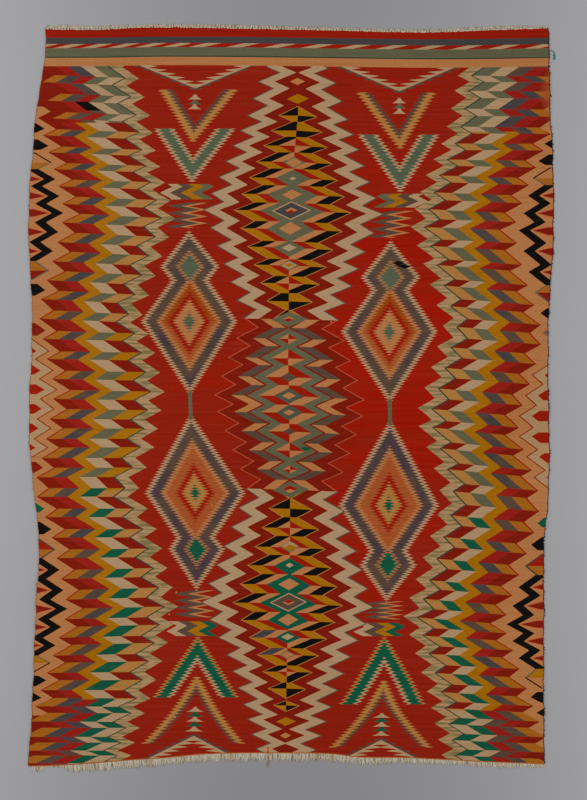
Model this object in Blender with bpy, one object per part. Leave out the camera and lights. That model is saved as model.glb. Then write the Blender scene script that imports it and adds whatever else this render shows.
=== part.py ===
"""A flat tapestry-woven wool rug with short warp fringes, lying on the floor.

Metres. +X is the rug's width, +Y its length towards the banded end, +Z up.
The origin is on the underside, at the middle of the cloth.
"""

import math
import random

import bpy

# Driving dimensions of the cloth
HALF_WIDTH = 0.750
HALF_LENGTH = 1.055
THICKNESS = 0.0030
EDGE_ROUND = 0.0008
GAP = 0.0003
STATION = 0.030

# The two cords that bind the sides, and how far in the cloth ends beside them
CORD_RADIUS = 0.0014
CORD_RESOLUTION = 2
CORD_INSET = 0.0045

# The warp ends at each end of the cloth; a strand's root and tip are shares of its pitch
FRINGE_THICKNESS = 0.0020
STRIP_WIDTH = 0.0035
FRINGE_END_GAP = 0.006
ROOT_SHARE = 0.62
TIP_SHARE = 0.34

# The yarn tail at the corner: where it leaves the side, and its route from there
TAIL_RADIUS = 0.0013
TAIL_Y = 0.987
TAIL_TIP_SHARE = 0.55
TAIL_ROUTE = (
    {"x": 0.0000, "y": 0.0000},
    {"x": 0.0050, "y": -0.0006},
    {"x": 0.0100, "y": -0.0026},
    {"x": 0.0130, "y": -0.0068},
    {"x": 0.0138, "y": -0.0125},
    {"x": 0.0136, "y": -0.0190},
    {"x": 0.0142, "y": -0.0255},
)

# How far each side lies inside the nominal half width, from the banded end down
SIDE_EDGES = (
    {"y": 1.051, "left": 0.046, "right": 0.003},
    {"y": 0.945, "left": 0.040, "right": 0.000},
    {"y": 0.815, "left": 0.018, "right": -0.002},
    {"y": 0.700, "left": 0.008, "right": -0.009},
    {"y": 0.556, "left": -0.003, "right": -0.012},
    {"y": 0.412, "left": -0.003, "right": -0.010},
    {"y": 0.268, "left": 0.005, "right": 0.000},
    {"y": 0.124, "left": 0.005, "right": 0.004},
    {"y": -0.020, "left": -0.002, "right": 0.003},
    {"y": -0.164, "left": 0.000, "right": 0.000},
    {"y": -0.308, "left": 0.014, "right": 0.004},
    {"y": -0.438, "left": 0.026, "right": 0.016},
    {"y": -0.596, "left": 0.018, "right": 0.016},
    {"y": -0.769, "left": 0.011, "right": 0.017},
    {"y": -0.942, "left": 0.004, "right": 0.016},
    {"y": -1.077, "left": -0.006, "right": 0.014},
)

# How far each end lies beyond the nominal half length, from left to right
END_EDGES = (
    {"x": -0.756, "top": -0.004, "bottom": 0.020},
    {"x": -0.661, "top": -0.005, "bottom": 0.017},
    {"x": -0.545, "top": -0.006, "bottom": 0.009},
    {"x": -0.460, "top": -0.001, "bottom": 0.002},
    {"x": -0.373, "top": 0.001, "bottom": -0.003},
    {"x": -0.258, "top": 0.000, "bottom": -0.014},
    {"x": -0.143, "top": -0.003, "bottom": -0.018},
    {"x": 0.002, "top": -0.005, "bottom": -0.018},
    {"x": 0.117, "top": -0.008, "bottom": -0.016},
    {"x": 0.203, "top": -0.010, "bottom": -0.006},
    {"x": 0.318, "top": -0.013, "bottom": -0.005},
    {"x": 0.434, "top": -0.013, "bottom": 0.000},
    {"x": 0.549, "top": -0.008, "bottom": 0.006},
    {"x": 0.664, "top": -0.004, "bottom": 0.011},
    {"x": 0.750, "top": -0.001, "bottom": 0.015},
)

# Length of the warp ends past their strip, along each end of the cloth
TOP_FRINGE = (
    {"x": -0.71, "length": 0.003},
    {"x": -0.66, "length": 0.008},
    {"x": -0.56, "length": 0.007},
    {"x": -0.42, "length": 0.004},
    {"x": -0.20, "length": 0.005},
    {"x": 0.05, "length": 0.004},
    {"x": 0.25, "length": 0.003},
    {"x": 0.45, "length": 0.004},
    {"x": 0.62, "length": 0.005},
    {"x": 0.74, "length": 0.003},
)
BOTTOM_FRINGE = (
    {"x": -0.745, "length": 0.013},
    {"x": -0.722, "length": 0.012},
    {"x": -0.712, "length": 0.003},
    {"x": -0.655, "length": 0.004},
    {"x": -0.640, "length": 0.016},
    {"x": -0.50, "length": 0.018},
    {"x": -0.30, "length": 0.015},
    {"x": -0.05, "length": 0.018},
    {"x": 0.20, "length": 0.017},
    {"x": 0.45, "length": 0.012},
    {"x": 0.60, "length": 0.014},
    {"x": 0.73, "length": 0.009},
)
TOP_STRANDS = 130
BOTTOM_STRANDS = 160
STRAY_STRAND_X = -0.062
STRAY_STRAND_LENGTH = 0.042

# The side edges ripple a little where the wefts turn round the cords
RIPPLES = (
    {"wave": 0.057, "height": 0.0007, "phase": 0.4},
    {"wave": 0.149, "height": 0.0010, "phase": 1.9},
)

RED = (0.42, 0.035, 0.015)
CREAM = (0.62, 0.52, 0.36)
PEACH = (0.60, 0.31, 0.15)
TEAL = (0.03, 0.12, 0.11)


def clear_scene():
    for thing in list(bpy.data.objects):
        bpy.data.objects.remove(thing, do_unlink=True)


def material(name, colour, roughness=0.9):
    made = bpy.data.materials.new(name)
    made.use_nodes = True
    shader = made.node_tree.nodes["Principled BSDF"]
    shader.inputs["Base Color"].default_value = (*colour, 1.0)
    shader.inputs["Roughness"].default_value = roughness
    shader.inputs["Metallic"].default_value = 0.0
    return made


def read_table(table, place, column, at):
    """The column's value at a place, on a smooth curve through the table's rows."""
    rows = sorted(table, key=lambda row: row[place])
    at = min(max(at, rows[0][place]), rows[-1][place])
    i = max(j for j in range(len(rows) - 1) if rows[j][place] <= at)
    low, high = rows[i], rows[i + 1]
    span = high[place] - low[place]
    share = (at - low[place]) / span
    slopes = []
    for j in (i, i + 1):
        a, b = rows[max(j - 1, 0)], rows[min(j + 1, len(rows) - 1)]
        slopes.append((b[column] - a[column]) / (b[place] - a[place]) * span)
    rise = high[column] - low[column]
    bend = share * (1 - share)
    pull = slopes[0] * (1 - share) - slopes[1] * share + rise * (2 * share - 1)
    return low[column] + rise * share + bend * pull


def side_x(side, y):
    """X of the rug's outer side at a height y; side is -1 on the left and 1 on the right."""
    column = "left" if side < 0 else "right"
    ripple = sum(
        wave["height"] * math.sin(2 * math.pi * y / wave["wave"] + wave["phase"] + side)
        for wave in RIPPLES
    )
    return side * (HALF_WIDTH - read_table(SIDE_EDGES, "y", column, y) + ripple)


def end_y(end, x):
    """Y of the cloth's woven end at x; end is 1 at the banded end and -1 at the other."""
    column = "top" if end > 0 else "bottom"
    return end * (HALF_LENGTH + read_table(END_EDGES, "x", column, x))


def corner(side, end):
    """The cloth's corner, inside the cord that binds the side."""
    x, y = side * HALF_WIDTH, end * HALF_LENGTH
    for _ in range(6):
        y = end_y(end, x)
        x = side_x(side, y) - side * CORD_INSET
    return x, y


def stations(start, stop):
    """Places from start to stop, a station apart or a little less."""
    count = max(2, math.ceil(abs(stop - start) / STATION))
    return [start + (stop - start) * i / count for i in range(count + 1)]


def cloth_outline():
    """The cloth's edge, anticlockwise from its lower left corner."""
    points = []
    for side, end in ((-1, -1), (1, 1)):
        start_x, _ = corner(side, end)
        turn_x, turn_y = corner(-side, end)
        _, stop_y = corner(-side, -end)
        points += [(x, end_y(end, x)) for x in stations(start_x, turn_x)[:-1]]
        run = stations(turn_y, stop_y)[:-1]
        points += [(side_x(-side, y) + side * CORD_INSET, y) for y in run]
    return points


def link(thing, collection, made_of):
    collection.objects.link(thing)
    thing.data.materials.append(made_of)
    return thing


def flat_shape(name, outline, thickness, rounding=0.0):
    """A closed outline filled and given a thickness, resting on z = 0."""
    curve = bpy.data.curves.new(name, "CURVE")
    curve.dimensions = "2D"
    curve.fill_mode = "BOTH"
    curve.extrude = thickness / 2 - rounding
    curve.bevel_depth = rounding
    curve.bevel_resolution = 1 if rounding else 0
    curve.offset = -rounding
    spline = curve.splines.new("POLY")
    spline.points.add(len(outline) - 1)
    for point, (x, y) in zip(spline.points, outline):
        point.co = (x, y, 0.0, 1.0)
    spline.use_cyclic_u = True
    thing = bpy.data.objects.new(name, curve)
    thing.location = (0.0, 0.0, thickness / 2)
    return thing


def tube(name, route, radius, ends=1.0):
    """A round yarn along a route; ends is the radius at its last point, as a share."""
    curve = bpy.data.curves.new(name, "CURVE")
    curve.dimensions = "3D"
    curve.bevel_depth = radius
    curve.bevel_resolution = CORD_RESOLUTION
    curve.use_fill_caps = True
    spline = curve.splines.new("POLY")
    spline.points.add(len(route) - 1)
    for i, (point, place) in enumerate(zip(spline.points, route)):
        point.co = (*place, 1.0)
        point.radius = 1.0 + (ends - 1.0) * (i / (len(route) - 1)) ** 2
    return bpy.data.objects.new(name, curve)


def warp_fringe(name, end, count, lengths, stray=None):
    """A narrow strip beside the cloth's end with the warp ends standing out of it."""
    chance = random.Random(count)
    left, _ = corner(-1, end)
    right, _ = corner(1, end)
    first, last = left + FRINGE_END_GAP, right - FRINGE_END_GAP
    inner = [x for x in stations(left, right) if first < x < last]
    inner = [first, *inner, last]
    outline = [(x, end_y(end, x) + end * GAP) for x in inner]
    pitch = (last - first) / count
    strands = []
    for i in range(count):
        middle = last - (i + 0.5) * pitch
        base_y = end_y(end, middle) + end * STRIP_WIDTH
        length = read_table(lengths, "x", "length", middle) * chance.uniform(0.75, 1.2)
        if stray is not None and abs(middle - stray) <= pitch / 2:
            length = STRAY_STRAND_LENGTH
        lean = chance.uniform(-0.5, 0.5) * pitch * (1 - ROOT_SHARE)
        root, tip = pitch * ROOT_SHARE / 2, pitch * TIP_SHARE / 2
        strands += [
            (middle + root, base_y),
            (middle + tip + lean, base_y + end * length),
            (middle - tip + lean, base_y + end * length),
            (middle - root, base_y),
        ]
    outline += strands
    return flat_shape(name, outline, FRINGE_THICKNESS)


def selvedge_cord(name, side):
    """The cord that binds one side, from the lower to the upper corner."""
    _, low = corner(side, -1)
    _, high = corner(side, 1)
    middle = CORD_INSET - GAP - CORD_RADIUS
    route = [(side_x(side, y) - side * middle, y, CORD_RADIUS) for y in stations(low, high)]
    return tube(name, route, CORD_RADIUS)


def corner_yarn_tail(name):
    """The loose end of the right cord's yarn: out of the side, then down beside it."""
    start = side_x(1, TAIL_Y) - CORD_INSET + 2 * (GAP + CORD_RADIUS)
    route = [(start + p["x"], TAIL_Y + p["y"], TAIL_RADIUS) for p in TAIL_ROUTE]
    return tube(name, route, TAIL_RADIUS, ends=TAIL_TIP_SHARE)


def build():
    clear_scene()
    rug = bpy.data.collections.new("tapestry_rug")
    bpy.context.scene.collection.children.link(rug)

    cloth = flat_shape("woven_cloth", cloth_outline(), THICKNESS, EDGE_ROUND)
    link(cloth, rug, material("woven_red_wool", RED))
    top = warp_fringe("top_warp_fringe", 1, TOP_STRANDS, TOP_FRINGE)
    link(top, rug, material("top_cotton_warp", CREAM))
    bottom = warp_fringe(
        "bottom_warp_fringe", -1, BOTTOM_STRANDS, BOTTOM_FRINGE, STRAY_STRAND_X
    )
    link(bottom, rug, material("bottom_cotton_warp", CREAM))
    left = selvedge_cord("left_selvedge_cord", -1)
    link(left, rug, material("peach_cord_wool", PEACH))
    right = selvedge_cord("right_selvedge_cord", 1)
    link(right, rug, material("dark_cord_wool", TEAL))
    tail = corner_yarn_tail("corner_yarn_tail")
    link(tail, rug, material("teal_tail_wool", TEAL))


build()
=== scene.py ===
import math
import random

import bmesh
import bpy
import numpy as np
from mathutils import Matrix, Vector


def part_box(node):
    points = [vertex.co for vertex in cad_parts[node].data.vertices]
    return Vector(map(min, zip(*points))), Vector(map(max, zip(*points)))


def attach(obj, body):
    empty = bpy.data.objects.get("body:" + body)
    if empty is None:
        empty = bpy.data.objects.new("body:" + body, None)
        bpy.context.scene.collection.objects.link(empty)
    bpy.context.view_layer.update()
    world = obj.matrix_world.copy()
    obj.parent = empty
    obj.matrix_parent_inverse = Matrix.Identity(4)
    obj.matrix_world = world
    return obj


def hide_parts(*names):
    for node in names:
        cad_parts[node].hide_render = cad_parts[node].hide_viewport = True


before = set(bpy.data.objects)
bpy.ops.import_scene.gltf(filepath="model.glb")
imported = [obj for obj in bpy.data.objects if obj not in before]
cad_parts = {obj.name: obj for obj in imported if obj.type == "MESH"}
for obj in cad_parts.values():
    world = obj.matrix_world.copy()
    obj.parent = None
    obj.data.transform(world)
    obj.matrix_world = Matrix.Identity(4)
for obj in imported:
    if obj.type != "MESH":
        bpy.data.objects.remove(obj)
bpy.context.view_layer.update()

# The woven cloth
# One sheet of weft-faced wool tapestry, 3 mm thick, beaten tight on cotton warps that run the
# rug's length. The whole pattern is woven in with dyed weft yarns, so both faces show it.

HALF_WIDTH = 0.750
HALF_LENGTH = 1.055
THICKNESS = 0.0030
CORD_INSET = 0.0045
EDGE_STRIP = 0.0030
EDGE_THICKNESS_SHARE = 0.45
COLUMNS, ROWS = 110, 320
WAVINESS = 0.0011
BAKE_MARGIN_X, BAKE_MARGIN_Y = 0.02, 0.03

# How far each side lies inside the half width, and each end beyond the half length
SIDE_EDGES = (
    {"y": 1.051, "left": 0.046, "right": 0.003},
    {"y": 0.945, "left": 0.040, "right": 0.000},
    {"y": 0.815, "left": 0.018, "right": -0.002},
    {"y": 0.700, "left": 0.008, "right": -0.009},
    {"y": 0.556, "left": -0.003, "right": -0.012},
    {"y": 0.412, "left": -0.003, "right": -0.010},
    {"y": 0.268, "left": 0.005, "right": 0.000},
    {"y": 0.124, "left": 0.005, "right": 0.004},
    {"y": -0.020, "left": -0.002, "right": 0.003},
    {"y": -0.164, "left": 0.000, "right": 0.000},
    {"y": -0.308, "left": 0.014, "right": 0.004},
    {"y": -0.438, "left": 0.026, "right": 0.016},
    {"y": -0.596, "left": 0.018, "right": 0.016},
    {"y": -0.769, "left": 0.011, "right": 0.017},
    {"y": -0.942, "left": 0.004, "right": 0.016},
    {"y": -1.077, "left": -0.006, "right": 0.014},
)
END_EDGES = (
    {"x": -0.756, "top": -0.004, "bottom": 0.020},
    {"x": -0.661, "top": -0.005, "bottom": 0.017},
    {"x": -0.545, "top": -0.006, "bottom": 0.009},
    {"x": -0.460, "top": -0.001, "bottom": 0.002},
    {"x": -0.373, "top": 0.001, "bottom": -0.003},
    {"x": -0.258, "top": 0.000, "bottom": -0.014},
    {"x": -0.143, "top": -0.003, "bottom": -0.018},
    {"x": 0.002, "top": -0.005, "bottom": -0.018},
    {"x": 0.117, "top": -0.008, "bottom": -0.016},
    {"x": 0.203, "top": -0.010, "bottom": -0.006},
    {"x": 0.318, "top": -0.013, "bottom": -0.005},
    {"x": 0.434, "top": -0.013, "bottom": 0.000},
    {"x": 0.549, "top": -0.008, "bottom": 0.006},
    {"x": 0.664, "top": -0.004, "bottom": 0.011},
    {"x": 0.750, "top": -0.001, "bottom": 0.015},
)
RIPPLES = (
    {"wave": 0.057, "height": 0.0007, "phase": 0.4},
    {"wave": 0.149, "height": 0.0010, "phase": 1.9},
)


def smooth_line(table, place, column):
    """A smooth curve through one column of a table, as a function of the place."""
    rows = sorted(table, key=lambda row: row[place])
    at = np.array([row[place] for row in rows])
    value = np.array([row[column] for row in rows])
    last = len(rows) - 1
    before = np.maximum(np.arange(last + 1) - 1, 0)
    after = np.minimum(np.arange(last + 1) + 1, last)
    slope = (value[after] - value[before]) / (at[after] - at[before])

    def read(where):
        where = np.clip(where, at[0], at[-1])
        i = np.clip(np.searchsorted(at, where, side="right") - 1, 0, last - 1)
        span = at[i + 1] - at[i]
        share = (where - at[i]) / span
        rise = value[i + 1] - value[i]
        pull = slope[i] * span * (1 - share) - slope[i + 1] * span * share
        return value[i] + rise * share + share * (1 - share) * (pull + rise * (2 * share - 1))

    return read


side_inset = {-1: smooth_line(SIDE_EDGES, "y", "left"), 1: smooth_line(SIDE_EDGES, "y", "right")}
end_reach = {1: smooth_line(END_EDGES, "x", "top"), -1: smooth_line(END_EDGES, "x", "bottom")}


def side_x(side, y):
    """X of the rug's outer side at a height y; side is -1 on the left and 1 on the right."""
    ripple = sum(
        wave["height"] * np.sin(2 * math.pi * y / wave["wave"] + wave["phase"] + side)
        for wave in RIPPLES
    )
    return side * (HALF_WIDTH - side_inset[side](y) + ripple)


def end_y(end, x):
    """Y of the cloth's woven end at x; end is 1 at the banded end and -1 at the other."""
    return end * (HALF_LENGTH + end_reach[end](x))


def edged_steps(count, length):
    """Shares from 0 to 1 along a grid, with a narrow step beside each edge."""
    rim = EDGE_STRIP / length
    return np.concatenate(([0.0], np.linspace(rim, 1 - rim, count - 1), [1.0]))


def put_in_scene(name, mesh):
    thing = bpy.data.objects.new(name, mesh)
    bpy.context.scene.collection.objects.link(thing)
    return thing


weave = bmesh.new()
bmesh.ops.create_grid(weave, x_segments=COLUMNS, y_segments=ROWS, size=1.0)
across = edged_steps(COLUMNS, 2 * HALF_WIDTH)
along = edged_steps(ROWS, 2 * HALF_LENGTH)
spots = np.array([vertex.co for vertex in weave.verts])
share_x = across[np.rint((spots[:, 0] + 1) / 2 * COLUMNS).astype(int)]
share_y = along[np.rint((spots[:, 1] + 1) / 2 * ROWS).astype(int)]
x = HALF_WIDTH * (2 * share_x - 1)
# The ends depend on x and the sides on y, so a few passes bring each corner to rest
for _ in range(4):
    y = end_y(-1, x) + (end_y(1, x) - end_y(-1, x)) * share_y
    left, right = side_x(-1, y) + CORD_INSET, side_x(1, y) - CORD_INSET
    x = left + (right - left) * share_x
# Crossing waves of a worn rug, with more of them near the sides, settled at the very edges
sway = np.sin(x * 5.3 + 1.1 * np.sin(y * 2.1)) + np.sin(y * 4.7 + x * 2.2) + np.sin(x * 11.7 - y * 7.9)
sway += 1.6 * np.sin(y * 15.1 + 2.0 * np.sin(x * 3.1)) * np.clip(np.abs(x) / HALF_WIDTH * 1.6 - 0.7, 0, 1)
rise = WAVINESS * (sway + 4.6) / 2
height = THICKNESS + rise * np.minimum(1, 30 * np.minimum(share_y, 1 - share_y) + 0.25)
for vertex, place in zip(weave.verts, zip(x, y, height)):
    vertex.co = place
cloth_mesh = bpy.data.meshes.new("tapestry_cloth")
bake_map = weave.loops.layers.uv.new("OFBake")
for face in weave.faces:
    face.smooth = True
    for loop in face.loops:
        place = loop.vert.co
        loop[bake_map].uv = (
            (place.x + HALF_WIDTH + BAKE_MARGIN_X) / (2 * (HALF_WIDTH + BAKE_MARGIN_X)),
            (place.y + HALF_LENGTH + BAKE_MARGIN_Y) / (2 * (HALF_LENGTH + BAKE_MARGIN_Y)),
        )
weave.to_mesh(cloth_mesh)
weave.free()
cloth = put_in_scene("tapestry_cloth", cloth_mesh)
body = cloth.vertex_groups.new(name="full_thickness")
inside = (share_x > 0) & (share_x < 1) & (share_y > 0) & (share_y < 1)
body.add([int(i) for i in np.flatnonzero(inside)], 1.0, "REPLACE")
body.add([int(i) for i in np.flatnonzero(~inside)], EDGE_THICKNESS_SHARE, "REPLACE")
doubled = cloth.modifiers.new("two_faces", "SOLIDIFY")
doubled.thickness = THICKNESS - 0.0001
doubled.offset = -1.0
doubled.use_rim = True
doubled.vertex_group = "full_thickness"

# The plan of the pattern, as places read off the photograph: one step of the chart is one
# of its pixels, 2.88 mm on the cloth. Columns count from the left and rows down from the banded
# end. Every zigzag line of a band repeats the line of its tooth tips, so a row of these tables
# says where the band turns: the tooth's number, its row, the columns of the first tip line, the
# red line and the edge line, how much lower the teeth lie at the red line, and the tooth's upper
# share.
CHART_STEP = 0.00288
CHART_MIDDLE = {"column": 289.7, "row": 393.0}
BAND = ("tooth", "row", "inner", "red", "black", "drop", "lean")
LEFT_BAND = (
    (-1, 60, 136.0, 40.0, 30, -4.0, 0.42),
    (0, 79, 139.0, 42.0, 32, -4.0, 0.42),
    (2, 116, 150.5, 51.0, 41, -4.0, 0.40),
    (4, 151, 156.0, 61.5, 49, -4.0, 0.38),
    (6, 183, 165.0, 72.0, 56, -3.0, 0.40),
    (8, 219, 176.0, 79.5, 64, -5.0, 0.48),
    (10, 256.5, 162.5, 70.5, 53.5, -4.5, 0.54),
    (13, 315, 142.5, 53.0, 42, -4.5, 0.44),
    (15, 353, 155.5, 60.0, 50, -1.5, 0.39),
    (17, 392, 165.0, 70.0, 58, -2.0, 0.46),
    (20, 447, 154.5, 59.5, 49, 0.5, 0.56),
    (22, 488, 139.0, 48.5, 38, 0.0, 0.42),
    (24, 529, 157.0, 65.0, 52, 0.0, 0.41),
    (27, 587, 173.0, 79.0, 64, 2.5, 0.45),
    (28, 606, 178.5, 83.0, 68, 2.0, 0.56),
    (30, 642, 168.5, 71.5, 56, 2.5, 0.60),
    (33, 698, 150.5, 53.0, 42, -0.5, 0.55),
    (36, 742, 135.0, 37.0, 26, 0.0, 0.62),
    (38, 768, 128.0, 30.0, 20, 0.0, 0.60),
)
RIGHT_BAND = (
    (-2, 60, 458.0, 552.0, 562, 2.0, 0.40),
    (-1, 76, 457.5, 551.0, 561, 1.0, 0.40),
    (0, 91, 454.5, 548.0, 558, 1.0, 0.40),
    (2, 127, 446.5, 539.5, 551, 1.0, 0.39),
    (3, 144, 441.0, 533.0, 544, 0.0, 0.40),
    (5, 175.5, 425.5, 518.0, 532, 2.5, 0.38),
    (7, 209, 414.5, 505.0, 523, 4.0, 0.45),
    (8, 227, 410.0, 500.0, 518, 3.0, 0.60),
    (10, 264, 423.0, 510.0, 528, 7.0, 0.68),
    (13, 326, 443.0, 530.0, 546, 7.0, 0.54),
    (15, 367, 431.0, 519.5, 531, 7.0, 0.44),
    (17, 408, 417.5, 505.0, 518, 7.0, 0.49),
    (18, 426, 418.5, 505.0, 518, 9.0, 0.64),
    (20, 468, 433.5, 521.0, 533, 8.0, 0.66),
    (21, 490, 439.5, 527.0, 540, 8.0, 0.58),
    (22, 514, 437.0, 524.0, 537, 8.0, 0.43),
    (25, 579, 415.5, 501.0, 518, 7.0, 0.42),
    (27, 616, 403.0, 490.0, 506, 7.0, 0.53),
    (29, 653, 415.0, 502.0, 518, 4.0, 0.55),
    (31, 691, 427.0, 516.0, 530, 5.0, 0.56),
    (34, 739, 438.0, 535.0, 548, 4.0, 0.57),
    (36, 770, 444.0, 545.0, 560, 4.0, 0.57),
)
# The middle column of diamonds: its axis and its tooth tips on either side of it
MIDDLE = ("tooth", "row", "axis", "left", "right", "left_drop", "right_drop", "lean")
MIDDLE_BAND = (
    (-1, 51, 296.5, 270.0, 324.0, 0, 2, 0.40),
    (0, 67, 297.0, 267.0, 327.0, 0, 2, 0.40),
    (1, 82, 297.5, 259.5, 335.0, 0, 1.5, 0.40),
    (3, 116, 298.0, 248.5, 347.0, 0, 4, 0.41),
    (5, 146, 295.0, 234.0, 358.0, 0, 4, 0.42),
    (7, 178.5, 292.6, 220.0, 368.5, -1, 4, 0.42),
    (9, 211, 291.0, 204.5, 382.0, -1, 3.5, 0.55),
    (11, 248, 289.0, 218.5, 364.0, -2, 4, 0.68),
    (15, 319.5, 288.5, 245.0, 337.5, -1, 1, 0.46),
    (17, 358.5, 288.0, 228.0, 351.0, -1, 2.5, 0.35),
    (19, 396, 289.0, 214.0, 365.0, -1, 4, 0.46),
    (20, 412.5, 289.0, 217.0, 363.5, -1, 3.5, 0.60),
    (23, 469.5, 290.0, 240.0, 343.5, -0.5, 2.5, 0.57),
    (24, 489.5, 290.0, 247.0, 337.0, -1, 2, 0.46),
    (27, 547, 290.0, 225.0, 355.5, -1, 4, 0.41),
    (30, 603, 288.5, 202.0, 372.5, -1, 4, 0.50),
    (33, 654.5, 287.0, 228.0, 349.5, 0, 2, 0.62),
    (36, 705, 286.0, 244.5, 330.5, -1, 1.5, 0.66),
    (39, 748.5, 285.0, 257.0, 315.0, 0, 1, 0.60),
    (40, 763, 285.0, 262.0, 310.0, 0, 1, 0.60),
)
# The figures in the two red columns are the same on both sides, a few rows lower on the right
FIGURES = ("row", "right_row", "left_axis", "right_axis")
FIGURE_ROWS = (
    (40, 41, 196.0, 398.0),
    (90, 93, 195.5, 399.0),
    (129, 135, 193.7, 399.5),
    (142, 149, 193.0, 400.0),
    (182, 192, 192.0, 400.0),
    (200, 208, 190.5, 396.0),
    (231, 241, 189.0, 390.5),
    (267, 277.5, 190.0, 390.5),
    (281, 291, 190.0, 390.0),
    (321.5, 332, 189.2, 389.0),
    (391, 399.5, 190.0, 389.5),
    (420, 426, 191.0, 390.0),
    (493, 505.5, 195.3, 388.5),
    (537, 550, 195.5, 388.0),
    (549, 565, 197.0, 388.0),
    (587, 599, 196.5, 386.5),
    (616, 618, 197.0, 385.0),
    (637, 637, 198.0, 384.0),
    (676, 680, 197.0, 384.0),
    (697, 704, 196.0, 382.0),
    (734, 738, 194.0, 381.0),
    (760, 764, 192.0, 380.0),
)


def reading(table, names, given, wanted, at):
    """A column of a chart table at values of another column, straight between rows."""
    places = [row[names.index(given)] for row in table]
    return np.interp(at, places, [row[names.index(wanted)] for row in table])


def side_band(table, outward, column, row):
    """Tooth count, lean and distances out from three tip lines of a side band."""
    level = row.copy()
    for _ in range(3):
        tooth = reading(table, BAND, "row", "tooth", level)
        inner = reading(table, BAND, "tooth", "inner", tooth)
        red = reading(table, BAND, "tooth", "red", tooth)
        share = np.clip((column - inner) / (red - inner), -0.4, 1.15)
        level = row - reading(table, BAND, "tooth", "drop", tooth) * share
    black = reading(table, BAND, "tooth", "black", tooth)
    lean = reading(table, BAND, "tooth", "lean", tooth)
    return tooth, lean, outward * (column - inner), outward * (column - red), outward * (column - black)


def middle_band(column, row):
    """Tooth count, lean, signed distance from the axis and half width of the middle column."""
    level = row.copy()
    for _ in range(3):
        tooth = reading(MIDDLE_BAND, MIDDLE, "row", "tooth", level)
        axis = reading(MIDDLE_BAND, MIDDLE, "tooth", "axis", tooth)
        on_left = column < axis
        reach = np.where(
            on_left,
            axis - reading(MIDDLE_BAND, MIDDLE, "tooth", "left", tooth),
            reading(MIDDLE_BAND, MIDDLE, "tooth", "right", tooth) - axis,
        )
        drop = np.where(
            on_left,
            reading(MIDDLE_BAND, MIDDLE, "tooth", "left_drop", tooth),
            reading(MIDDLE_BAND, MIDDLE, "tooth", "right_drop", tooth),
        )
        level = row - drop * np.clip(abs(column - axis) / reach, 0, 1.3)
    left = reading(MIDDLE_BAND, MIDDLE, "tooth", "left", tooth)
    right = reading(MIDDLE_BAND, MIDDLE, "tooth", "right", tooth)
    half = (right - left) / 2
    return tooth, reading(MIDDLE_BAND, MIDDLE, "tooth", "lean", tooth), (column - axis) * half / reach, half


SIDE_NAMES = ("side_tooth", "side_lean", "side_inner", "side_red", "side_black")
MIDDLE_NAMES = ("middle_tooth", "middle_lean", "middle_across", "middle_half")
column = x / CHART_STEP + CHART_MIDDLE["column"]
row = CHART_MIDDLE["row"] - y / CHART_STEP
on_right = column > CHART_MIDDLE["column"]
left_side = side_band(LEFT_BAND, -1, column, row)
right_side = side_band(RIGHT_BAND, 1, column, row)
plan = {
    name: np.where(on_right, right_value, left_value)
    for name, left_value, right_value in zip(SIDE_NAMES, left_side, right_side)
}
plan.update(zip(MIDDLE_NAMES, middle_band(column, row)))
figure_row = np.where(on_right, reading(FIGURE_ROWS, FIGURES, "right_row", "row", row), row)
left_axis = reading(FIGURE_ROWS, FIGURES, "row", "left_axis", figure_row)
right_axis = reading(FIGURE_ROWS, FIGURES, "row", "right_axis", figure_row)
plan["figure_row"] = figure_row
plan["figure_across"] = np.where(on_right, right_axis - column, column - left_axis)
# How many rows the stripes of the banded end sag below the chart's level
STRIPE_SAG = (
    {"column": 45, "rows": 0.3}, {"column": 100, "rows": 0.0}, {"column": 165, "rows": -0.9},
    {"column": 260, "rows": -0.4}, {"column": 410, "rows": 1.6}, {"column": 470, "rows": 1.4},
    {"column": 548, "rows": 0.2},
)
plan["stripe_row"] = row - smooth_line(STRIPE_SAG, "column", "rows")(column)
plan["to_end"] = (y - end_y(-1, x)) / CHART_STEP
plan["to_top"] = (end_y(1, x) - y) / CHART_STEP
for name, values in plan.items():
    layer = cloth_mesh.attributes.new(name, "FLOAT", "POINT")
    layer.data.foreach_set("value", values.astype(np.float32))


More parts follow.
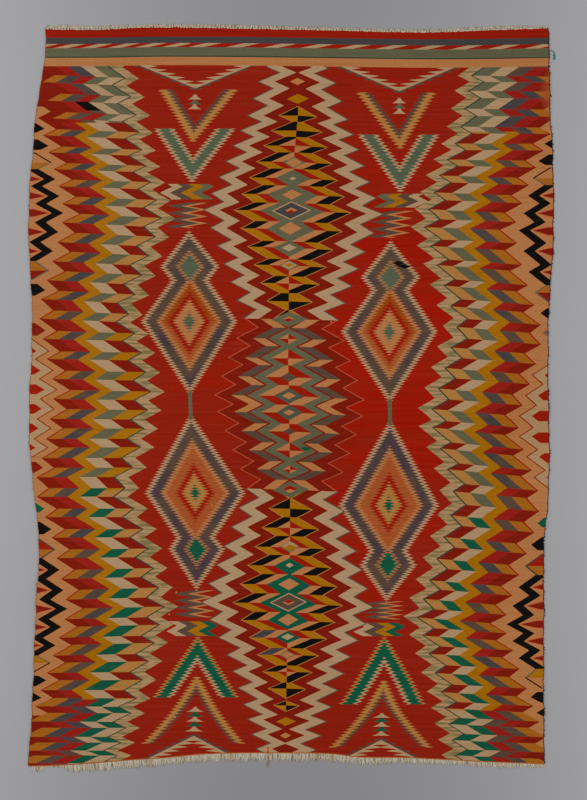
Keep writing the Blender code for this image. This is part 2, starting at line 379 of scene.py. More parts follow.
class Thread:
    """A shader socket that sums can be done with: each operation adds its Math node."""

    def __init__(self, tree, socket=None):
        self.tree, self.socket = tree, socket

    def node(self, kind, settings=None, values=None, out=0):
        made = self.tree.nodes.new("ShaderNode" + kind)
        for name, setting in (settings or {}).items():
            if name == "stops":
                ramp = made.color_ramp
                while len(ramp.elements) < len(setting):
                    ramp.elements.new(1.0)
                for stop, (at, colour) in zip(ramp.elements, setting):
                    stop.position, stop.color = at, (*colour, 1.0)
            else:
                setattr(made, name, setting)
        for name, value in (values or {}).items():
            if isinstance(value, Thread):
                self.tree.links.new(value.socket, made.inputs[name])
            elif isinstance(value, tuple) and made.inputs[name].type == "RGBA":
                made.inputs[name].default_value = (*value, 1.0)
            else:
                made.inputs[name].default_value = value
        return Thread(self.tree, made.outputs[out])

    def sum(self, operation, *others):
        return self.node("Math", {"operation": operation}, dict(enumerate((self, *others))))

    def __add__(self, other):
        return self.sum("ADD", other)

    __radd__ = __add__

    def __mul__(self, other):
        return self.sum("MULTIPLY", other)

    __rmul__ = __mul__

    def __sub__(self, other):
        return self.sum("SUBTRACT", other)

    def __rsub__(self, other):
        return self.node("Math", {"operation": "SUBTRACT"}, {0: other, 1: self})

    def __truediv__(self, other):
        return self.sum("DIVIDE", other)

    def __rtruediv__(self, other):
        return self.node("Math", {"operation": "DIVIDE"}, {0: other, 1: self})

    def __lt__(self, other):
        return self.sum("LESS_THAN", other)

    def __gt__(self, other):
        return self.sum("GREATER_THAN", other)

    def __abs__(self):
        return self.sum("ABSOLUTE")

    def floor(self):
        return self.sum("FLOOR")

    def fract(self):
        return self.sum("FRACT")

    def least(self, other):
        return self.sum("MINIMUM", other)

    def most(self, other):
        return self.sum("MAXIMUM", other)

    def wave(self, period):
        """From 0 up to 1 and back to 0 over each period, in straight lines."""
        return self.sum("PINGPONG", period / 2) / (period / 2)

    def ramp(self, low, high):
        """0 up to a low value, 1 from a high one, and a straight rise between."""
        return ((self - low) * (1.0 / (high - low))).most(0).least(1)

    def lay(self, mask, colour):
        """This colour with another laid over it where the mask is 1."""
        return self.node("Mix", {"data_type": "RGBA"}, {0: mask, 6: self, 7: colour}, 2)

    def tint(self, mask, colour):
        """This colour multiplied by another where the mask is 1."""
        settings = {"data_type": "RGBA", "blend_type": "MULTIPLY"}
        return self.node("Mix", settings, {0: mask, 6: self, 7: colour}, 2)


def srgb(red, green, blue):
    """A colour as the eye is used to naming it, 0 to 255, as the light it reflects."""
    return tuple(((part / 255 + 0.055) / 1.055) ** 2.4 for part in (red, green, blue))


LIGHTENED = 1.16
DYES = {
    name: tuple(part * LIGHTENED for part in srgb(*colour))
    for name, colour in {
        "red": (149, 21, 19), "bright": (157, 16, 20), "brown": (143, 27, 21), "crimson": (147, 26, 26),
        "dark": (126, 22, 14), "ochre": (163, 106, 22), "peach": (182, 116, 67), "honey": (175, 120, 59),
        "gold": (160, 96, 35), "tan": (177, 138, 93), "moss": (106, 105, 66), "cream": (180, 144, 102),
        "sage": (94, 95, 70), "leaf": (82, 95, 72), "slate": (88, 70, 57), "plum": (76, 60, 63),
        "black": (8, 3, 1), "green": (10, 86, 61), "rust": (163, 81, 43), "earth": (146, 68, 22),
        "line": (186, 86, 60), "grey": (70, 65, 66), "teal": (75, 83, 70), "ink": (50, 66, 54),
        "edge": (184, 96, 44), "cotton": (206, 192, 160),
    }.items()
}
# How far the teeth reach in from the line of their tips, in columns of the chart
SIDE_TEETH = {"left": 15, "right": 13.5}
MIDDLE_TEETH = 17
FINE_TEETH = 5.2


def object_place(thread):
    """The place on the piece itself, whose sheet of nodes this thread is in."""
    return thread.node("TexCoord", out="Object")


def new_material(name):
    made = bpy.data.materials.new(name)
    made.use_nodes = True
    shader = made.node_tree.nodes["Principled BSDF"]
    return made, shader, Thread(made.node_tree)


def diamonds_on_axis(colour, across, row):
    """The small diamonds on the middle column's axis: row, half width, half height, dye."""
    for middle, wide, high, dye in (
        (82, 7.5, 3.6, "peach"), (99.3, 11, 5, "ochre"),
        (163, 10, 6, "sage"), (163, 8.2, 4.8, "peach"),
        (179, 3.6, 1.8, "cream"), (195, 10, 5, "peach"),
        (211, 19.5, 9.3, "cream"), (211, 17.3, 8.2, "grey"), (210.8, 6, 3, "peach"), (212.3, 4.5, 2, "red"),
        (228.7, 11.5, 6.5, "peach"), (248, 7.5, 3.6, "cream"),
        (265.5, 9.5, 5.4, "sage"), (265.5, 7.7, 4.2, "tan"), (265.2, 5, 2.2, "ochre"),
        (319.5, 18.5, 7.6, "sage"), (319, 5, 2.6, "peach"), (320, 5, 1.8, "red"),
        (396, 13.5, 8, "teal"), (395.7, 7, 3.6, "peach"),
        (412.5, 13, 8, "teal"), (412.4, 6, 3, "peach"),
        (489.5, 18.5, 8, "sage"), (488.6, 7, 3.4, "red"), (490.8, 5, 2, "peach"),
        (546.5, 10, 6, "sage"), (546, 8.2, 4.8, "tan"), (547.5, 8, 3, "ochre"),
        (565, 4, 2.5, "cream"), (584, 10.5, 6, "peach"),
        (602, 18.5, 9.3, "cream"), (602, 16.5, 8.2, "slate"), (602, 6, 3, "peach"), (601.2, 4.5, 2, "red"),
        (619.5, 10, 6, "peach"), (636.5, 6.5, 3.2, "cream"),
        (654.5, 8, 4.4, "sage"), (654.5, 6.4, 3.4, "peach"),
        (721, 10, 4.3, "ochre"), (735, 5.5, 3, "peach"),
    ):
        colour = colour.lay(across / wide + abs(row - middle) / high < 1, DYES[dye])
    return colour


def choose(mask, yes, no):
    """One dye or other colour where the mask is 1, and another where it is 0."""
    yes, no = (DYES[colour] if isinstance(colour, str) else colour for colour in (yes, no))
    return mask.node("Mix", {"data_type": "RGBA"}, {0: mask, 6: no, 7: yes}, 2)


def red_columns(colour, across, row, right):
    """The figures down the two red columns, from the banded end to the other."""
    ground = colour
    out = abs(across)
    inward = across > 0
    # Chevrons: apex row, slope, more slope on the inner arm, way they open, rows, layers from outside
    tooth = row.wave(3.1) * FINE_TEETH
    for apex, slope, more, way, low, high, layers in (
        (179.5, 0.715, 0.05, -1, 129, 182, ((0, "cream"), (3.6, "leaf"), (14.8, "cream"), (18.0, None))),
        (139.5, 0.67, 0.12, -1, 90, 142, ((0, "honey"), (7.6, "slate"), (12.6, None))),
        (639.5, 0.68, 0.0, 1, 637, 697, ((0, "honey"), (2.8, "green"), (14.0, "cream"), (17.4, None))),
        (678.5, 0.62, 0.0, 1, 675, 743, ((0, "honey"), (6.6, "slate"), (10.2, None))),
    ):
        inside = (row - apex) * (inward * more + slope) * way - out + tooth
        if apex > 670:
            # The last chevron's arms bend outward towards their ends
            below = (row - 700).most(0)
            inside = inside + below * below * 0.0042
        inside = inside.least((row - low) * 1000).least((high - row) * 1000)
        for depth, dye in layers:
            colour = colour.lay(inside > depth, DYES[dye] if dye else ground)

    # Wide triangles against both ends, stepped along their inner edge
    steps = row.wave(3.8)
    for apex, spread, way in ((88.9, 2.42, -1), (735.5, 1.95, 1)):
        inside = (row - apex) * (way * spread) - out
        there = abs(row - 410) > 319
        colour = colour.lay(there * (inside + steps * 7 > -1), DYES["slate"])
        colour = colour.lay(there * (inside > 0), DYES["cream"])
        colour = colour.lay(there * (inside - steps * 15 > 1.5), ground)

    # Stacks of small triangles inside the chevrons
    for first, last, wide, leaf in ((95.0, 109.6, 5.6, "sage"), (706.5, 730.9, 7.6, "green")):
        part = (row - first) / 4.88
        there = (row > first) * (row < last)
        shape = there * (out < 1.4 + part.fract() * part.fract() * wide)
        colour = colour.lay(shape, choose((part / 2).fract() > 0.5, leaf, "cream"))

    # Broad arrows of six dyes, then the thin hooks beside them
    plain = across * (1 - 2 * right)
    for middle, half, turn, run, place, dyes in (
        (192, 7.7, 193, 6.0, across, ("dark", "cream", "slate", "ochre", "sage", "red")),
        (628.3, 7.3, 630.8, 5.4, plain, ("red", "cream", "slate", "ochre", "green", "red")),
    ):
        zigzag = place + abs(abs(row - turn) - run) * 2.0 - run * 2
        there = (abs(row - middle) < half) * (zigzag < 20)
        for start, dye in zip((-36, -31, -21, -10, 0.5, 10.5), dyes):
            colour = colour.lay(there * (zigzag > start), DYES[dye])

    for top, bottom in ((203, 228), (590, 617)):
        zigzag = plain - (row - top - 3.5).wave(6.8) * 19
        there = (row > top) * (row < bottom)
        for start, stop, dye in ((-23, -9, "slate"), (-9, -1, "peach")):
            colour = colour.lay(there * (zigzag > start) * (zigzag < stop), DYES[dye])

    def lozenge(top, middle, bottom, half):
        return ((row - top) * (half / (middle - top))).least((bottom - row) * (half / (bottom - middle)))

    # Each large diamond with the small one joined to it, as rings from the outside in
    tooth = row.wave(2.75) * FINE_TEETH
    upper = lozenge(235, 267, 300, 26).most(lozenge(259, 321.5, 390, 44.5))
    lower = lozenge(419.5, 493, 560, 46.5).most(lozenge(516, 549, 585, 24.5))
    depth = upper.most(lower) - out + tooth
    large = (abs(row - 336) < 55).most(abs(row - 478) < 59.5)
    late = row > 405
    patch = row.node("TexNoise", None, {"Vector": object_place(row), "Scale": 9.0, "Detail": 2.0}, "Fac")
    ring = choose((patch + late * 0.06).ramp(0.46, 0.60), "plum", "slate")
    for start, dye in ((0, DYES["cream"]), (3.8, ring), (15.4, DYES["peach"])):
        colour = colour.lay(depth > start, dye)
    browned = (patch + (row - 322) * 0.012).ramp(0.62, 0.46) * (1 - late)
    colour = colour.lay(large * (depth > 19.4), choose(browned, "earth", "rust"))
    inmost = depth - late * 4.6
    colour = colour.lay(large * (inmost > 25.8), DYES["red"])
    colour = colour.lay(large * (inmost > 31.8), choose(late, "honey", "peach"))
    colour = colour.lay(large * (inmost + late * 1.2 > 41.0), choose(late, "green", "leaf"))
    colour = colour.lay((depth - large * 100) > 17.6, choose(late, "green", "leaf"))
    return colour.lay((out < 1.9) * (abs(row - 405.5) < 14.5), DYES["sage"])


def side_bands(colour, threads, row, right, streak):
    """The zigzag bands along both sides, out to the figures at the selvedges."""
    tooth, lean, inner, red, black = threads
    part = tooth.fract()
    upper = part < lean
    fall = (part / lean) * upper + ((1 - part) / (1 - lean)) * (1 - upper)
    dip = fall * (SIDE_TEETH["left"] - right * (SIDE_TEETH["left"] - SIDE_TEETH["right"]))
    first, last, edge = inner - dip, red - dip, black - dip
    # Near both ends the bands lose their ochre zigzag, and lower down the sage turns to green
    plain = (row < 123 + right * 9).most(row > 699 + right * 11)
    late = row > 487 + right * 26

    blotch = row.node("TexNoise", None, {"Vector": object_place(row), "Scale": 7.0, "Detail": 2.0}, "Fac")
    slate = choose(blotch.ramp(0.44, 0.56), "grey", "slate")
    colour = colour.lay(first > 0, choose(streak, "moss", "tan"))
    colour = colour.lay(first > 12.9, DYES["ink"])
    golden = upper * (1 - right) * (abs(row - 410) < 80)
    colour = colour.lay(first > 15.0, choose(upper, "honey", "dark").lay(golden, DYES["ochre"]))
    second = choose(upper, "sage", "cream").lay(upper * late, DYES["green"])
    colour = colour.lay(first + last > -27.8, second)
    colour = colour.lay(last > -43, DYES["ochre"])
    colour = colour.lay(last > -31, choose(upper, slate, "crimson"))
    colour = colour.lay(last > -16, choose(upper, "gold", "dark"))
    colour = colour.lay((last > -2.0) * upper, DYES["red"])

    leaf = choose(late, "green", "sage")
    band = plain * (first > 15.0)
    wide = 1 - (row < 123) * (1 - right)
    colour = colour.lay(band, choose(upper, "cream", leaf))
    colour = colour.lay(band * (first - wide * 2 > 29.5), choose(upper, leaf, "cream"))
    colour = colour.lay(band * (first - wide * 4.5 > 43), choose(upper, "crimson", slate))
    colour = colour.lay(band * (first - wide * 6.5 > 57), choose(upper, slate, "crimson"))
    colour = colour.lay(band * (first - wide * 7.5 > 71), choose(upper, "gold", "dark"))
    colour = colour.lay(band * (first - wide * 14 > 84), DYES["dark"])
    colour = colour.lay((last > 0) * (row > 107) * (row < 715 + right * 32), DYES["peach"])

    # The figures along the selvedge change with the count of the tooth
    count = (tooth + 1 - lean).floor()
    count = count + right * (count > 21.5)

    def teeth(*spans):
        inside = [(abs(count - (low + high) / 2) < (high - low) / 2 + 0.5) for low, high in spans]
        total = inside[0]
        for one in inside[1:]:
            total = total.most(one)
        return total

    half = (fall < 0.62) * (edge > 0)
    colour = colour.lay(teeth((3, 4), (12, 12), (24, 24), (32, 33)) * half, DYES["black"])
    colour = colour.lay(teeth((14, 14), (21, 21)) * half * (1 - right), DYES["dark"])
    colour = colour.lay(teeth((23, 23)) * half * (fall < 0.45), DYES["green"])
    zigzag = teeth((6, 10), (26, 30))
    colour = colour.lay(zigzag * (edge > 0), DYES["black"])
    colour = colour.lay(zigzag * (edge > 11.5), DYES["peach"])
    colour = colour.lay(zigzag * (edge > 12.5 + fall * 20) * (fall < 0.5), DYES["line"])
    colour = colour.lay(zigzag * (edge > 14.5 + fall * 24) * (fall < 0.38), DYES["dark"])
    for number, top_line, top, low_line, low in (
        (5, "black", "peach", "sage", "gold"), (11, "sage", "gold", "sage", "dark"),
        (25, "ink", "red", "ink", "gold"), (31, "sage", "ochre", "black", "peach"),
    ):
        rhomb = teeth((number, number))
        colour = colour.lay(rhomb * (edge > 0), choose(upper, low_line, top_line))
        colour = colour.lay(rhomb * (edge > 2.4), choose(upper, low, top))
    thin = teeth((15, 20))
    colour = colour.lay(thin * (edge > 0), DYES["dark"])
    colour = colour.lay(thin * (edge > 1.7), DYES["tan"])
    return colour.lay(thin * (edge > 13) * (fall < 0.5), DYES["red"])


def middle_column(colour, threads, row):
    """The three large diamonds of zigzags down the middle."""
    tooth, lean, across, half = threads
    part = tooth.fract()
    upper = part < lean
    fall = (part / lean) * upper + ((1 - part) / (1 - lean)) * (1 - upper)
    out = abs(across)
    depth = half - out - fall * MIDDLE_TEETH
    same = abs(upper - (across < 0))
    centre = (tooth > 15) * (tooth < 24)
    ends = 1 - centre

    # The two outer diamonds, then the one in the centre
    for start, dye in ((-2.0, "teal"), (0, "cream"), (15, "dark")):
        colour = colour.lay(ends * (depth > start), DYES[dye])
    filled = ends * (abs(tooth - 19.56) < 17.14)
    colour = colour.lay(filled * (depth > 29.6), DYES["honey"])
    faded = (across < 0) * (abs(tooth - 32.2) < 0.8)
    colour = colour.lay(filled * (depth > 31), choose(same, "black", "ochre").lay(same * faded, DYES["grey"]))
    quartered = filled * (abs(abs(tooth - 19.5) - 10.5) < 4.6)
    colour = colour.lay(quartered * (depth > 45), choose(same, "peach", "red"))
    cored = filled * (abs(abs(tooth - 19.5) - 10.5) < 3.1)
    colour = colour.lay(cored * (depth > 56.5), choose(tooth > 24, "green", "sage"))

    colour = colour.lay(centre * (depth > 0), DYES["line"])
    colour = colour.lay(centre * (depth > 1.4), DYES["dark"])
    turned = abs(upper - (tooth < 19.535))
    colour = colour.lay(centre * (depth > 17), choose(turned, "slate", "peach"))
    colour = colour.lay(centre * (depth > 30), DYES["dark"])
    colour = colour.lay(centre * (depth > 33), DYES["sage"])
    colour = colour.lay(centre * (depth > 44.5), choose(same, "peach", "red"))
    colour = colour.lay(centre * (depth > 60), DYES["slate"])
    return diamonds_on_axis(colour, out, row + across * 0.02)


def banded_end(colour, column, row, to_top, to_end, ragged):
    """The stripes along one end, and the edge line along the other."""
    for low, dye in ((66.5, "peach"), (58.2, "ink"), (57.0, "sage")):
        colour = colour.lay(row < low, DYES[dye])
    late = column > 190
    pitch = 27 + late * 10.3
    count = (column - 54 - late * 136) / pitch + late * 5.04
    dash = (count + (row - 48.4) * 4.5 / pitch).fract() < 0.5 - late * 0.1
    colour = colour.lay(row < 48.4, choose(dash, "cream", "red"))
    colour = colour.lay(row < 44.3, DYES["grey"])
    colour = colour.lay(row < 38, DYES["red"])
    bare = column.wave(2.9) + ragged * 1.4
    colour = colour.lay(to_top < 0.5 + ragged * 1.8, choose(bare > 0.95, "cotton", "slate"))
    return colour.lay(to_end < 1.0, DYES["edge"])


def stains(colour, column, row):
    """Spilt ink, one black cell, a loose end's line, green, rust and moss spots, white lint."""
    def blot(middle, level, wide, high):
        return 1 - abs(column - middle) / wide - abs(row - level) / high

    ragged = row.node("TexNoise", None, {"Vector": object_place(row), "Scale": 160.0, "Detail": 2.0}, "Fac")
    for middle, level, wide, high in ((398.5, 263.5, 8, 2.6), (404, 266.5, 8, 2.6)):
        colour = colour.lay(blot(middle, level, wide, high) > ragged - 0.35, DYES["black"])
    ink = (abs(row - 106.5) < 4.5) * (abs(column - 81.5 - (row - 102) * 1.35) < 6.8)
    colour = colour.lay(ink, DYES["black"])
    colour = colour.lay((abs(column - 268) < 0.9) * (row > 746), DYES["edge"])
    colour = colour.lay(blot(306, 448.5, 7, 2.4) > ragged - 0.4, DYES["green"])
    rusty = blot(548, 94, 12, 34).ramp(0.0, 0.8) * 0.75
    colour = colour.lay(rusty, DYES["rust"])
    olive = blot(108, 73, 9, 7).ramp(0.0, 1.0) * 0.6
    colour = colour.lay(olive, DYES["moss"])
    colour = colour.lay(blot(546, 333, 5, 4).ramp(0.0, 0.5) * 0.7, DYES["grey"])
    for middle, level in ((169.5, 614), (175, 717), (176.5, 592), (331, 322), (212, 505)):
        colour = colour.lay(blot(middle, level, 0.9, 0.8) > 0, DYES["cream"])
    return colour


def wool_finish(thread, shader, colour, place):
    """Streaks of dye, uneven yarn and soil over the woven colours."""
    stretched = thread.node("Mapping", None, {"Vector": place, "Scale": (1.5, 46.0, 1.0)}, "Vector")
    streak = thread.node("TexNoise", None, {"Vector": stretched, "Scale": 3.0, "Detail": 4.0}, "Fac")
    colour = colour.tint(streak.ramp(0.50, 0.75) * 0.45, (0.66, 0.62, 0.60))
    colour = colour.lay(streak.ramp(0.48, 0.25) * 0.018, (0.62, 0.46, 0.36))
    yarn = thread.node("Mapping", None, {"Vector": place, "Scale": (130.0, 420.0, 1.0)}, "Vector")
    grain = thread.node("TexNoise", None, {"Vector": yarn, "Scale": 1.0, "Detail": 2.0}, "Fac")
    colour = colour.tint((1 - grain.ramp(0.25, 0.62)) * 0.45, (0.55, 0.52, 0.5))
    soil = thread.node("TexNoise", None, {"Vector": place, "Scale": 2.3, "Detail": 3.0}, "Fac")
    colour = colour.tint(soil.ramp(0.48, 0.72) * 0.35, (0.76, 0.72, 0.70))
    thread.tree.links.new(colour.socket, shader.inputs["Base Color"])
    rough = 0.86 + grain * 0.12
    thread.tree.links.new(rough.socket, shader.inputs["Roughness"])


WARP_PITCH = 0.0027
WEFT_PITCH = 0.0012

cloth_wool, shader, thread = new_material("tapestry_wool")
place = object_place(thread)
x_place = thread.node("SeparateXYZ", None, {0: place}, "X")
y_place = thread.node("SeparateXYZ", None, {0: place}, "Y")
chart_column = x_place / CHART_STEP + CHART_MIDDLE["column"]
chart_row = CHART_MIDDLE["row"] - y_place / CHART_STEP
on_right = x_place > 0


def planned(name):
    settings = {"attribute_type": "GEOMETRY", "attribute_name": name}
    return thread.node("Attribute", settings, out="Fac")


patchy = thread.node("Mapping", None, {"Vector": place, "Scale": (1.5, 6.0, 1.0)}, "Vector")
dye_cloud = {"Vector": patchy, "Scale": 2.2, "Detail": 4.0, "Roughness": 0.6}
dyeing = thread.node("TexNoise", None, dye_cloud, "Fac")
fresh = 1 - abs(chart_column - 385) / 190 - abs(chart_row - 350) / 260
colour = choose((dyeing + fresh * 0.22).ramp(0.46, 0.72), "bright", "brown")
colour = red_columns(colour, planned("figure_across"), planned("figure_row"), on_right)
drawn_out = thread.node("Mapping", None, {"Vector": place, "Scale": (16.0, 150.0, 1.0)}, "Vector")
wisps = thread.node("TexNoise", None, {"Vector": drawn_out, "Scale": 1.0, "Detail": 1.0}, "Fac")
side_threads = [planned(name) for name in SIDE_NAMES]
colour = side_bands(colour, side_threads, chart_row, on_right, wisps.ramp(0.46, 0.60) * 0.85)
colour = middle_column(colour, [planned(name) for name in MIDDLE_NAMES], chart_row)
frayed = thread.node("TexNoise", None, {"Vector": place, "Scale": 160.0, "Detail": 2.0}, "Fac")
to_ends = (planned("to_top"), planned("to_end"))
colour = banded_end(colour, chart_column, planned("stripe_row"), *to_ends, frayed)
colour = stains(colour, chart_column, chart_row)
wool_finish(thread, shader, colour, place)

rib = abs((x_place * (math.pi / WARP_PITCH)).sum("SINE"))
beads = abs((y_place * (math.pi / WEFT_PITCH) + (x_place / WARP_PITCH).floor() * (math.pi / 2)).sum("SINE"))
relief = rib * 0.7 + beads * 0.45
raised = thread.node("Bump", None, {"Strength": 0.55, "Distance": 0.0005, "Height": relief}, "Normal")
thread.tree.links.new(raised.socket, shader.inputs["Normal"])
shader.inputs["Sheen Weight"].default_value = 0.05
shader.inputs["Sheen Roughness"].default_value = 0.6
shader.inputs["Specular IOR Level"].default_value = 0.15
cloth_mesh.materials.append(cloth_wool)
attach(cloth, "root")
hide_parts("woven_cloth")

# The warp ends
# Where the cloth is cut from the loom the cotton warps stand out past the last weft as a short
# uneven fringe, about a centimetre long at the banded end and two centimetres at the other.

FRINGE_RADIUS = 0.00115
FRINGE_START, FRINGE_RUN = -0.742, 1.480
FRINGES = {
    "top_warp_ends": {
        "end": 1, "count": 660, "node": "top_warp_fringe", "slot": "top_cotton_warp",
        "lengths": (
            {"x": -0.71, "length": 0.008}, {"x": -0.66, "length": 0.013}, {"x": -0.56, "length": 0.011},
            {"x": -0.42, "length": 0.009}, {"x": -0.20, "length": 0.010}, {"x": 0.05, "length": 0.009},
            {"x": 0.25, "length": 0.008}, {"x": 0.45, "length": 0.009}, {"x": 0.62, "length": 0.010},
            {"x": 0.74, "length": 0.006},
        ),
    },
    "bottom_warp_ends": {
        "end": -1, "count": 1000, "node": "bottom_warp_fringe", "slot": "bottom_cotton_warp",
        "lengths": (
            {"x": -0.745, "length": 0.018}, {"x": -0.715, "length": 0.016}, {"x": -0.700, "length": 0.008},
            {"x": -0.655, "length": 0.009}, {"x": -0.630, "length": 0.022}, {"x": -0.50, "length": 0.024},
            {"x": -0.30, "length": 0.022}, {"x": -0.05, "length": 0.024}, {"x": 0.20, "length": 0.021},
            {"x": 0.45, "length": 0.015}, {"x": 0.60, "length": 0.017}, {"x": 0.73, "length": 0.012},
        ),
    },
}


def yarn_mesh(name, routes, radius, sides=2, tip=0.5):
    """Round yarns along routes of points, as one closed mesh."""
    curve = bpy.data.curves.new(name, "CURVE")
    curve.dimensions = "3D"
    curve.bevel_depth = radius
    curve.bevel_resolution = sides
    curve.use_fill_caps = True
    for route in routes:
        spline = curve.splines.new("POLY")
        spline.points.add(len(route) - 1)
        for i, (point, spot) in enumerate(zip(spline.points, route)):
            point.co = (*spot, 1.0)
            point.radius = 1.0 + (tip - 1.0) * (i / (len(route) - 1)) ** 2
    drawn = bpy.data.objects.new(name, curve)
    bpy.context.scene.collection.objects.link(drawn)
    seen = drawn.evaluated_get(bpy.context.evaluated_depsgraph_get())
    mesh = bpy.data.meshes.new_from_object(seen)
    bpy.data.objects.remove(drawn)
    bpy.data.curves.remove(curve)
    work = bmesh.new()
    work.from_mesh(mesh)
    bmesh.ops.remove_doubles(work, verts=work.verts, dist=0.000001)
    bmesh.ops.recalc_face_normals(work, faces=work.faces)
    for face in work.faces:
        face.smooth = True
    work.to_mesh(mesh)
    work.free()
    mesh.name = name
    return mesh


def yarn_material(name, colour, light, dark):
    """Spun yarn: each strand its own shade, with a fine twist and some soil."""
    made, shader, thread = new_material(name)
    place = object_place(thread)
    strand = thread.node("NewGeometry", out="Random Per Island")
    stops = ((0.0, dark), (0.45, colour), (1.0, light))
    shade = thread.node("ValToRGB", {"stops": stops}, {0: strand}, "Color")
    fuzz = thread.node("TexNoise", None, {"Vector": place, "Scale": 420.0, "Detail": 2.0}, "Fac")
    shade = shade.tint(1 - fuzz.ramp(0.3, 0.6), (0.78, 0.75, 0.70))
    thread.tree.links.new(shade.socket, shader.inputs["Base Color"])
    thread.tree.links.new((0.85 + fuzz * 0.12).socket, shader.inputs["Roughness"])
    raised = thread.node("Bump", None, {"Strength": 0.4, "Distance": 0.0003, "Height": fuzz}, "Normal")
    thread.tree.links.new(raised.socket, shader.inputs["Normal"])
    shader.inputs["Sheen Weight"].default_value = 0.15
    shader.inputs["Specular IOR Level"].default_value = 0.15
    return made


cotton = yarn_material(
    "cotton_warp", srgb(226, 209, 172), srgb(244, 234, 206), srgb(166, 146, 108)
)
for name, plan_of in FRINGES.items():
    chance = random.Random(plan_of["count"])
    end = plan_of["end"]
    length_at = smooth_line(plan_of["lengths"], "x", "length")
    routes = []
    for i in range(plan_of["count"]):
        middle = FRINGE_START + FRINGE_RUN * (i + chance.uniform(0.1, 0.9)) / plan_of["count"]
        start = float(end_y(end, middle)) - end * 0.002
        inner_left = float(side_x(-1, start)) + CORD_INSET
        inner_right = float(side_x(1, start)) - CORD_INSET
        if not inner_left < middle < inner_right:
            continue
        length = float(length_at(middle)) * chance.uniform(0.7, 1.2)
        lean = chance.uniform(-0.3, 0.3) * length
        curl = chance.uniform(-0.15, 0.15) * length
        routes.append([
            (middle, start, 0.0022),
            (middle + lean * 0.1 + curl * 0.6, start + end * length * 0.25, 0.0018),
            (middle + lean * 0.3 + curl, start + end * length * 0.50, 0.0013),
            (middle + lean * 0.6 + curl * 0.5, start + end * length * 0.75, FRINGE_RADIUS),
            (middle + lean, start + end * length, FRINGE_RADIUS * 0.7),
        ])
    mesh = yarn_mesh(name, routes, FRINGE_RADIUS, 1)
    fringe = put_in_scene(name, mesh)
    mesh.materials.append(cotton)
    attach(fringe, "root")
    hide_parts(plan_of["node"])

# The selvedge cords
# Two wool yarns twined up each side bind the turns of the weft. The left pair is peach and
# cream, the right pair is dark brown and worn through to tufts in places.

CORD_RADIUS = 0.0014
CORD_GAP = 0.0003
PLY_RADIUS = 0.00074
PLY_SWING = {"out": 0.00072, "up": 0.00066}
STEPS_PER_TWIST = 8
CORDS = {
    "left_twined_cord": {
        "side": -1, "node": "left_selvedge_cord", "slot": "peach_cord_wool",
        "colours": (srgb(176, 120, 76), srgb(204, 160, 116), srgb(132, 74, 44)), "tufts": 60,
    },
    "right_twined_cord": {
        "side": 1, "node": "right_selvedge_cord", "slot": "dark_cord_wool",
        "colours": (srgb(58, 44, 34), srgb(120, 80, 48), srgb(14, 16, 14)), "tufts": 190,
    },
}
TWIST_PITCH = 0.0105
for name, cord in CORDS.items():
    side = cord["side"]
    box_low, box_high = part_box(cord["node"])
    low, high = box_low[1] + 0.001, box_high[1] - 0.001
    middle = CORD_INSET - CORD_GAP - CORD_RADIUS
    count = int((high - low) / TWIST_PITCH * STEPS_PER_TWIST)
    routes = []
    for ply in (0.0, math.pi):
        route = []
        for i in range(count + 1):
            level = low + (high - low) * i / count
            turn = 2 * math.pi * (level - low) / TWIST_PITCH + ply
            out = float(side_x(side, level)) - side * middle
            up = CORD_RADIUS + PLY_SWING["up"] * math.sin(turn)
            route.append((out + PLY_SWING["out"] * math.cos(turn), level, up))
        routes.append(route)
    chance = random.Random(cord["tufts"])
    for _ in range(cord["tufts"]):
        level = chance.uniform(low, high)
        out = float(side_x(side, level)) - side * middle
        reach = chance.uniform(0.002, 0.0055)
        slope = chance.uniform(-0.004, 0.004)
        routes.append([
            (out, level, CORD_RADIUS),
            (out + side * reach * 0.6, level + slope * 0.4, CORD_RADIUS),
            (out + side * reach, level + slope, 0.0008),
        ])
    mesh = yarn_mesh(name, routes, PLY_RADIUS, 1, tip=0.8)
    twined = put_in_scene(name, mesh)
    base, light, dark = cord["colours"]
    mesh.materials.append(yarn_material(name + "_wool", base, light, dark))
    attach(twined, "root")
    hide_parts(cord["node"])

# The corner yarn tail
# A two-ply teal wool yarn, worked in beside the right cord, was left long near the upper
# corner, where it bends out and down and its end has frayed.

TAIL_Y = 0.987
TAIL_RADIUS = 0.0008
TAIL_HEIGHT = 0.0016
TAIL_SWING = {"out": 0.0008, "up": 0.0007}
TAIL_ROUTE = (
    {"x": 0.0000, "y": 0.0000},
    {"x": 0.0050, "y": -0.0006},
    {"x": 0.0100, "y": -0.0026},
    {"x": 0.0130, "y": -0.0068},
    {"x": 0.0138, "y": -0.0125},
    {"x": 0.0136, "y": -0.0190},
    {"x": 0.0142, "y": -0.0255},
)
tail_start = float(side_x(1, TAIL_Y)) - CORD_INSET + 2 * (CORD_GAP + CORD_RADIUS)
tail_x = smooth_line([{"i": i, **spot} for i, spot in enumerate(TAIL_ROUTE)], "i", "x")
tail_y = smooth_line([{"i": i, **spot} for i, spot in enumerate(TAIL_ROUTE)], "i", "y")
plies = []
for ply in range(2):
    route = []
    for i in range(73):
        at = i / 12
        turn = math.pi * (i / 5 + ply)
        route.append((
            tail_start + float(tail_x(at)) + TAIL_SWING["out"] * math.cos(turn),
            TAIL_Y + float(tail_y(at)),
            TAIL_HEIGHT + TAIL_SWING["up"] * math.sin(turn),
        ))
    plies.append(route)
chance = random.Random(31)
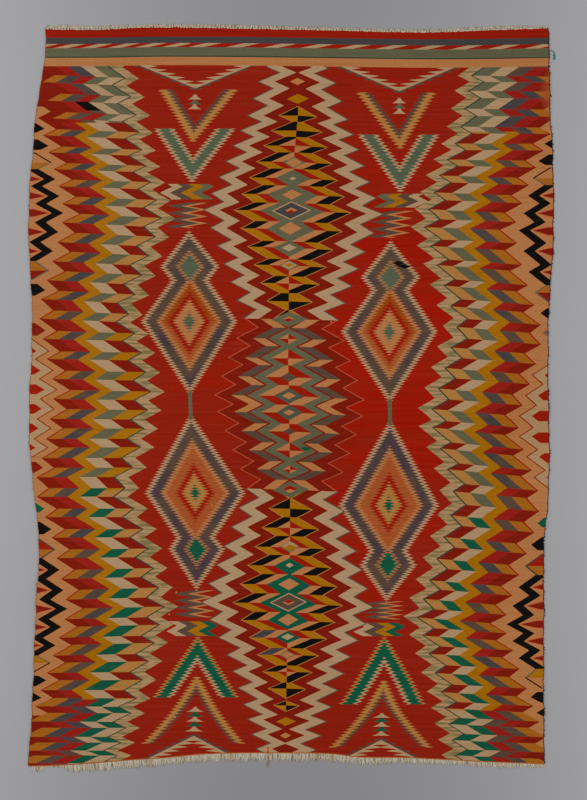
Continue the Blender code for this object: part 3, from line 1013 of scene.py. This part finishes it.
for _ in range(12):
    at = chance.uniform(3.4, 6.0)
    foot_x, foot_y = tail_start + float(tail_x(at)), TAIL_Y + float(tail_y(at))
    reach = chance.uniform(0.003, 0.008)
    heading = chance.uniform(-2.7, -0.7)
    tip_x, tip_y = foot_x + reach * math.cos(heading), foot_y + reach * math.sin(heading)
    plies.append([
        (foot_x, foot_y, TAIL_HEIGHT),
        ((foot_x + tip_x) / 2, (foot_y + tip_y) / 2 + 0.0004, TAIL_HEIGHT),
        (tip_x, tip_y, TAIL_RADIUS),
    ])
tail_mesh = yarn_mesh("teal_yarn_tail", plies, TAIL_RADIUS, 2)
tail = put_in_scene("teal_yarn_tail", tail_mesh)
tail_mesh.materials.append(
    yarn_material("teal_tail_yarn", srgb(24, 112, 118), srgb(56, 148, 150), srgb(10, 66, 78))
)
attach(tail, "root")
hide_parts("corner_yarn_tail")

# The loose weft end
# One thin orange wool weft was never worked in, and hangs over the last picks and across the
# fringe.

STRAY_X = -0.0625
STRAY_RADIUS = 0.0010
stray_route = [
    (STRAY_X, -1.0300, 0.0058), (STRAY_X + 0.0006, -1.0380, 0.0052),
    (STRAY_X - 0.0004, -1.0480, 0.0036), (STRAY_X + 0.0008, -1.0600, 0.0024),
    (STRAY_X - 0.0010, -1.0720, 0.0012), (STRAY_X + 0.0012, -1.0790, 0.0010),
]
stray_mesh = yarn_mesh("loose_weft_end", [stray_route], STRAY_RADIUS, 2)
stray = put_in_scene("loose_weft_end", stray_mesh)
stray_mesh.materials.append(
    yarn_material("orange_weft", srgb(196, 88, 42), srgb(222, 120, 66), srgb(150, 52, 26))
)
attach(stray, "root")

# The floor, the light and the camera
# The rug lies face up on a plain matt grey floor whose colour carries painted light: it is lighter
# towards the left and right, where the lamps hang, and a little lighter towards the top, in place of
# the lamps' own falloff. Two wide soft lamps hang at the left and the right, and the camera looks
# straight down.

FLOOR_HALF = 7.0
PAINTED_SHADE_GREY = (0.262, 0.257, 0.271)
PAINTED_LIGHT_GREY = (0.545, 0.539, 0.565)
floor_work = bmesh.new()
bmesh.ops.create_grid(floor_work, x_segments=1, y_segments=1, size=FLOOR_HALF)
floor_mesh = bpy.data.meshes.new("studio_floor")
floor_work.to_mesh(floor_mesh)
floor_work.free()
floor = put_in_scene("studio_floor", floor_mesh)
floor_material_painted_light, shader, thread = new_material("painted_light_floor")
place = object_place(thread)
aside = thread.node("SeparateXYZ", None, {0: place}, "X")
toward = thread.node("SeparateXYZ", None, {0: place}, "Y")
# Painted light: the floor's grey is lighter towards the sides and a little lighter towards the top, standing
# in for the falloff of the lamps
painted_lamp_falloff = aside * aside * 1.25 + toward * 0.07 + aside * -0.04
lamp_falloff_grey = choose(painted_lamp_falloff.ramp(-0.2, 1.4), PAINTED_LIGHT_GREY, PAINTED_SHADE_GREY)
thread.tree.links.new(lamp_falloff_grey.socket, shader.inputs["Base Color"])
shader.inputs["Roughness"].default_value = 0.9
shader.inputs["Specular IOR Level"].default_value = 0.1
floor_mesh.materials.append(floor_material_painted_light)


def soft_light(name, place, size, power):
    lamp = bpy.data.lights.new(name, "AREA")
    lamp.shape = "RECTANGLE"
    lamp.size, lamp.size_y = size
    lamp.energy = power
    thing = bpy.data.objects.new(name, lamp)
    bpy.context.scene.collection.objects.link(thing)
    thing.location = place
    aim = -thing.location
    thing.rotation_euler = aim.to_track_quat("-Z", "Y").to_euler()


soft_light("soft_light_left", (-3.1, 0.5, 2.8), (2.2, 2.2), 88)
soft_light("soft_light_right", (3.0, -0.3, 3.0), (2.4, 2.4), 68)
world = bpy.data.worlds.new("soft_room")
world.use_nodes = True
world.node_tree.nodes["Background"].inputs["Color"].default_value = (1.0, 1.0, 1.0, 1.0)
world.node_tree.nodes["Background"].inputs["Strength"].default_value = 0.34
bpy.context.scene.world = world

VIEW_HEIGHT = 2.304
VIEW_MIDDLE = (0.0109, -0.0202)
CAMERA_HEIGHT = 3.6
lens = bpy.data.cameras.new("overhead_camera")
lens.sensor_width = 36.0
lens.lens = lens.sensor_width * CAMERA_HEIGHT / VIEW_HEIGHT
camera = bpy.data.objects.new("overhead_camera", lens)
bpy.context.scene.collection.objects.link(camera)
camera.location = (*VIEW_MIDDLE, CAMERA_HEIGHT)
bpy.context.scene.camera = camera
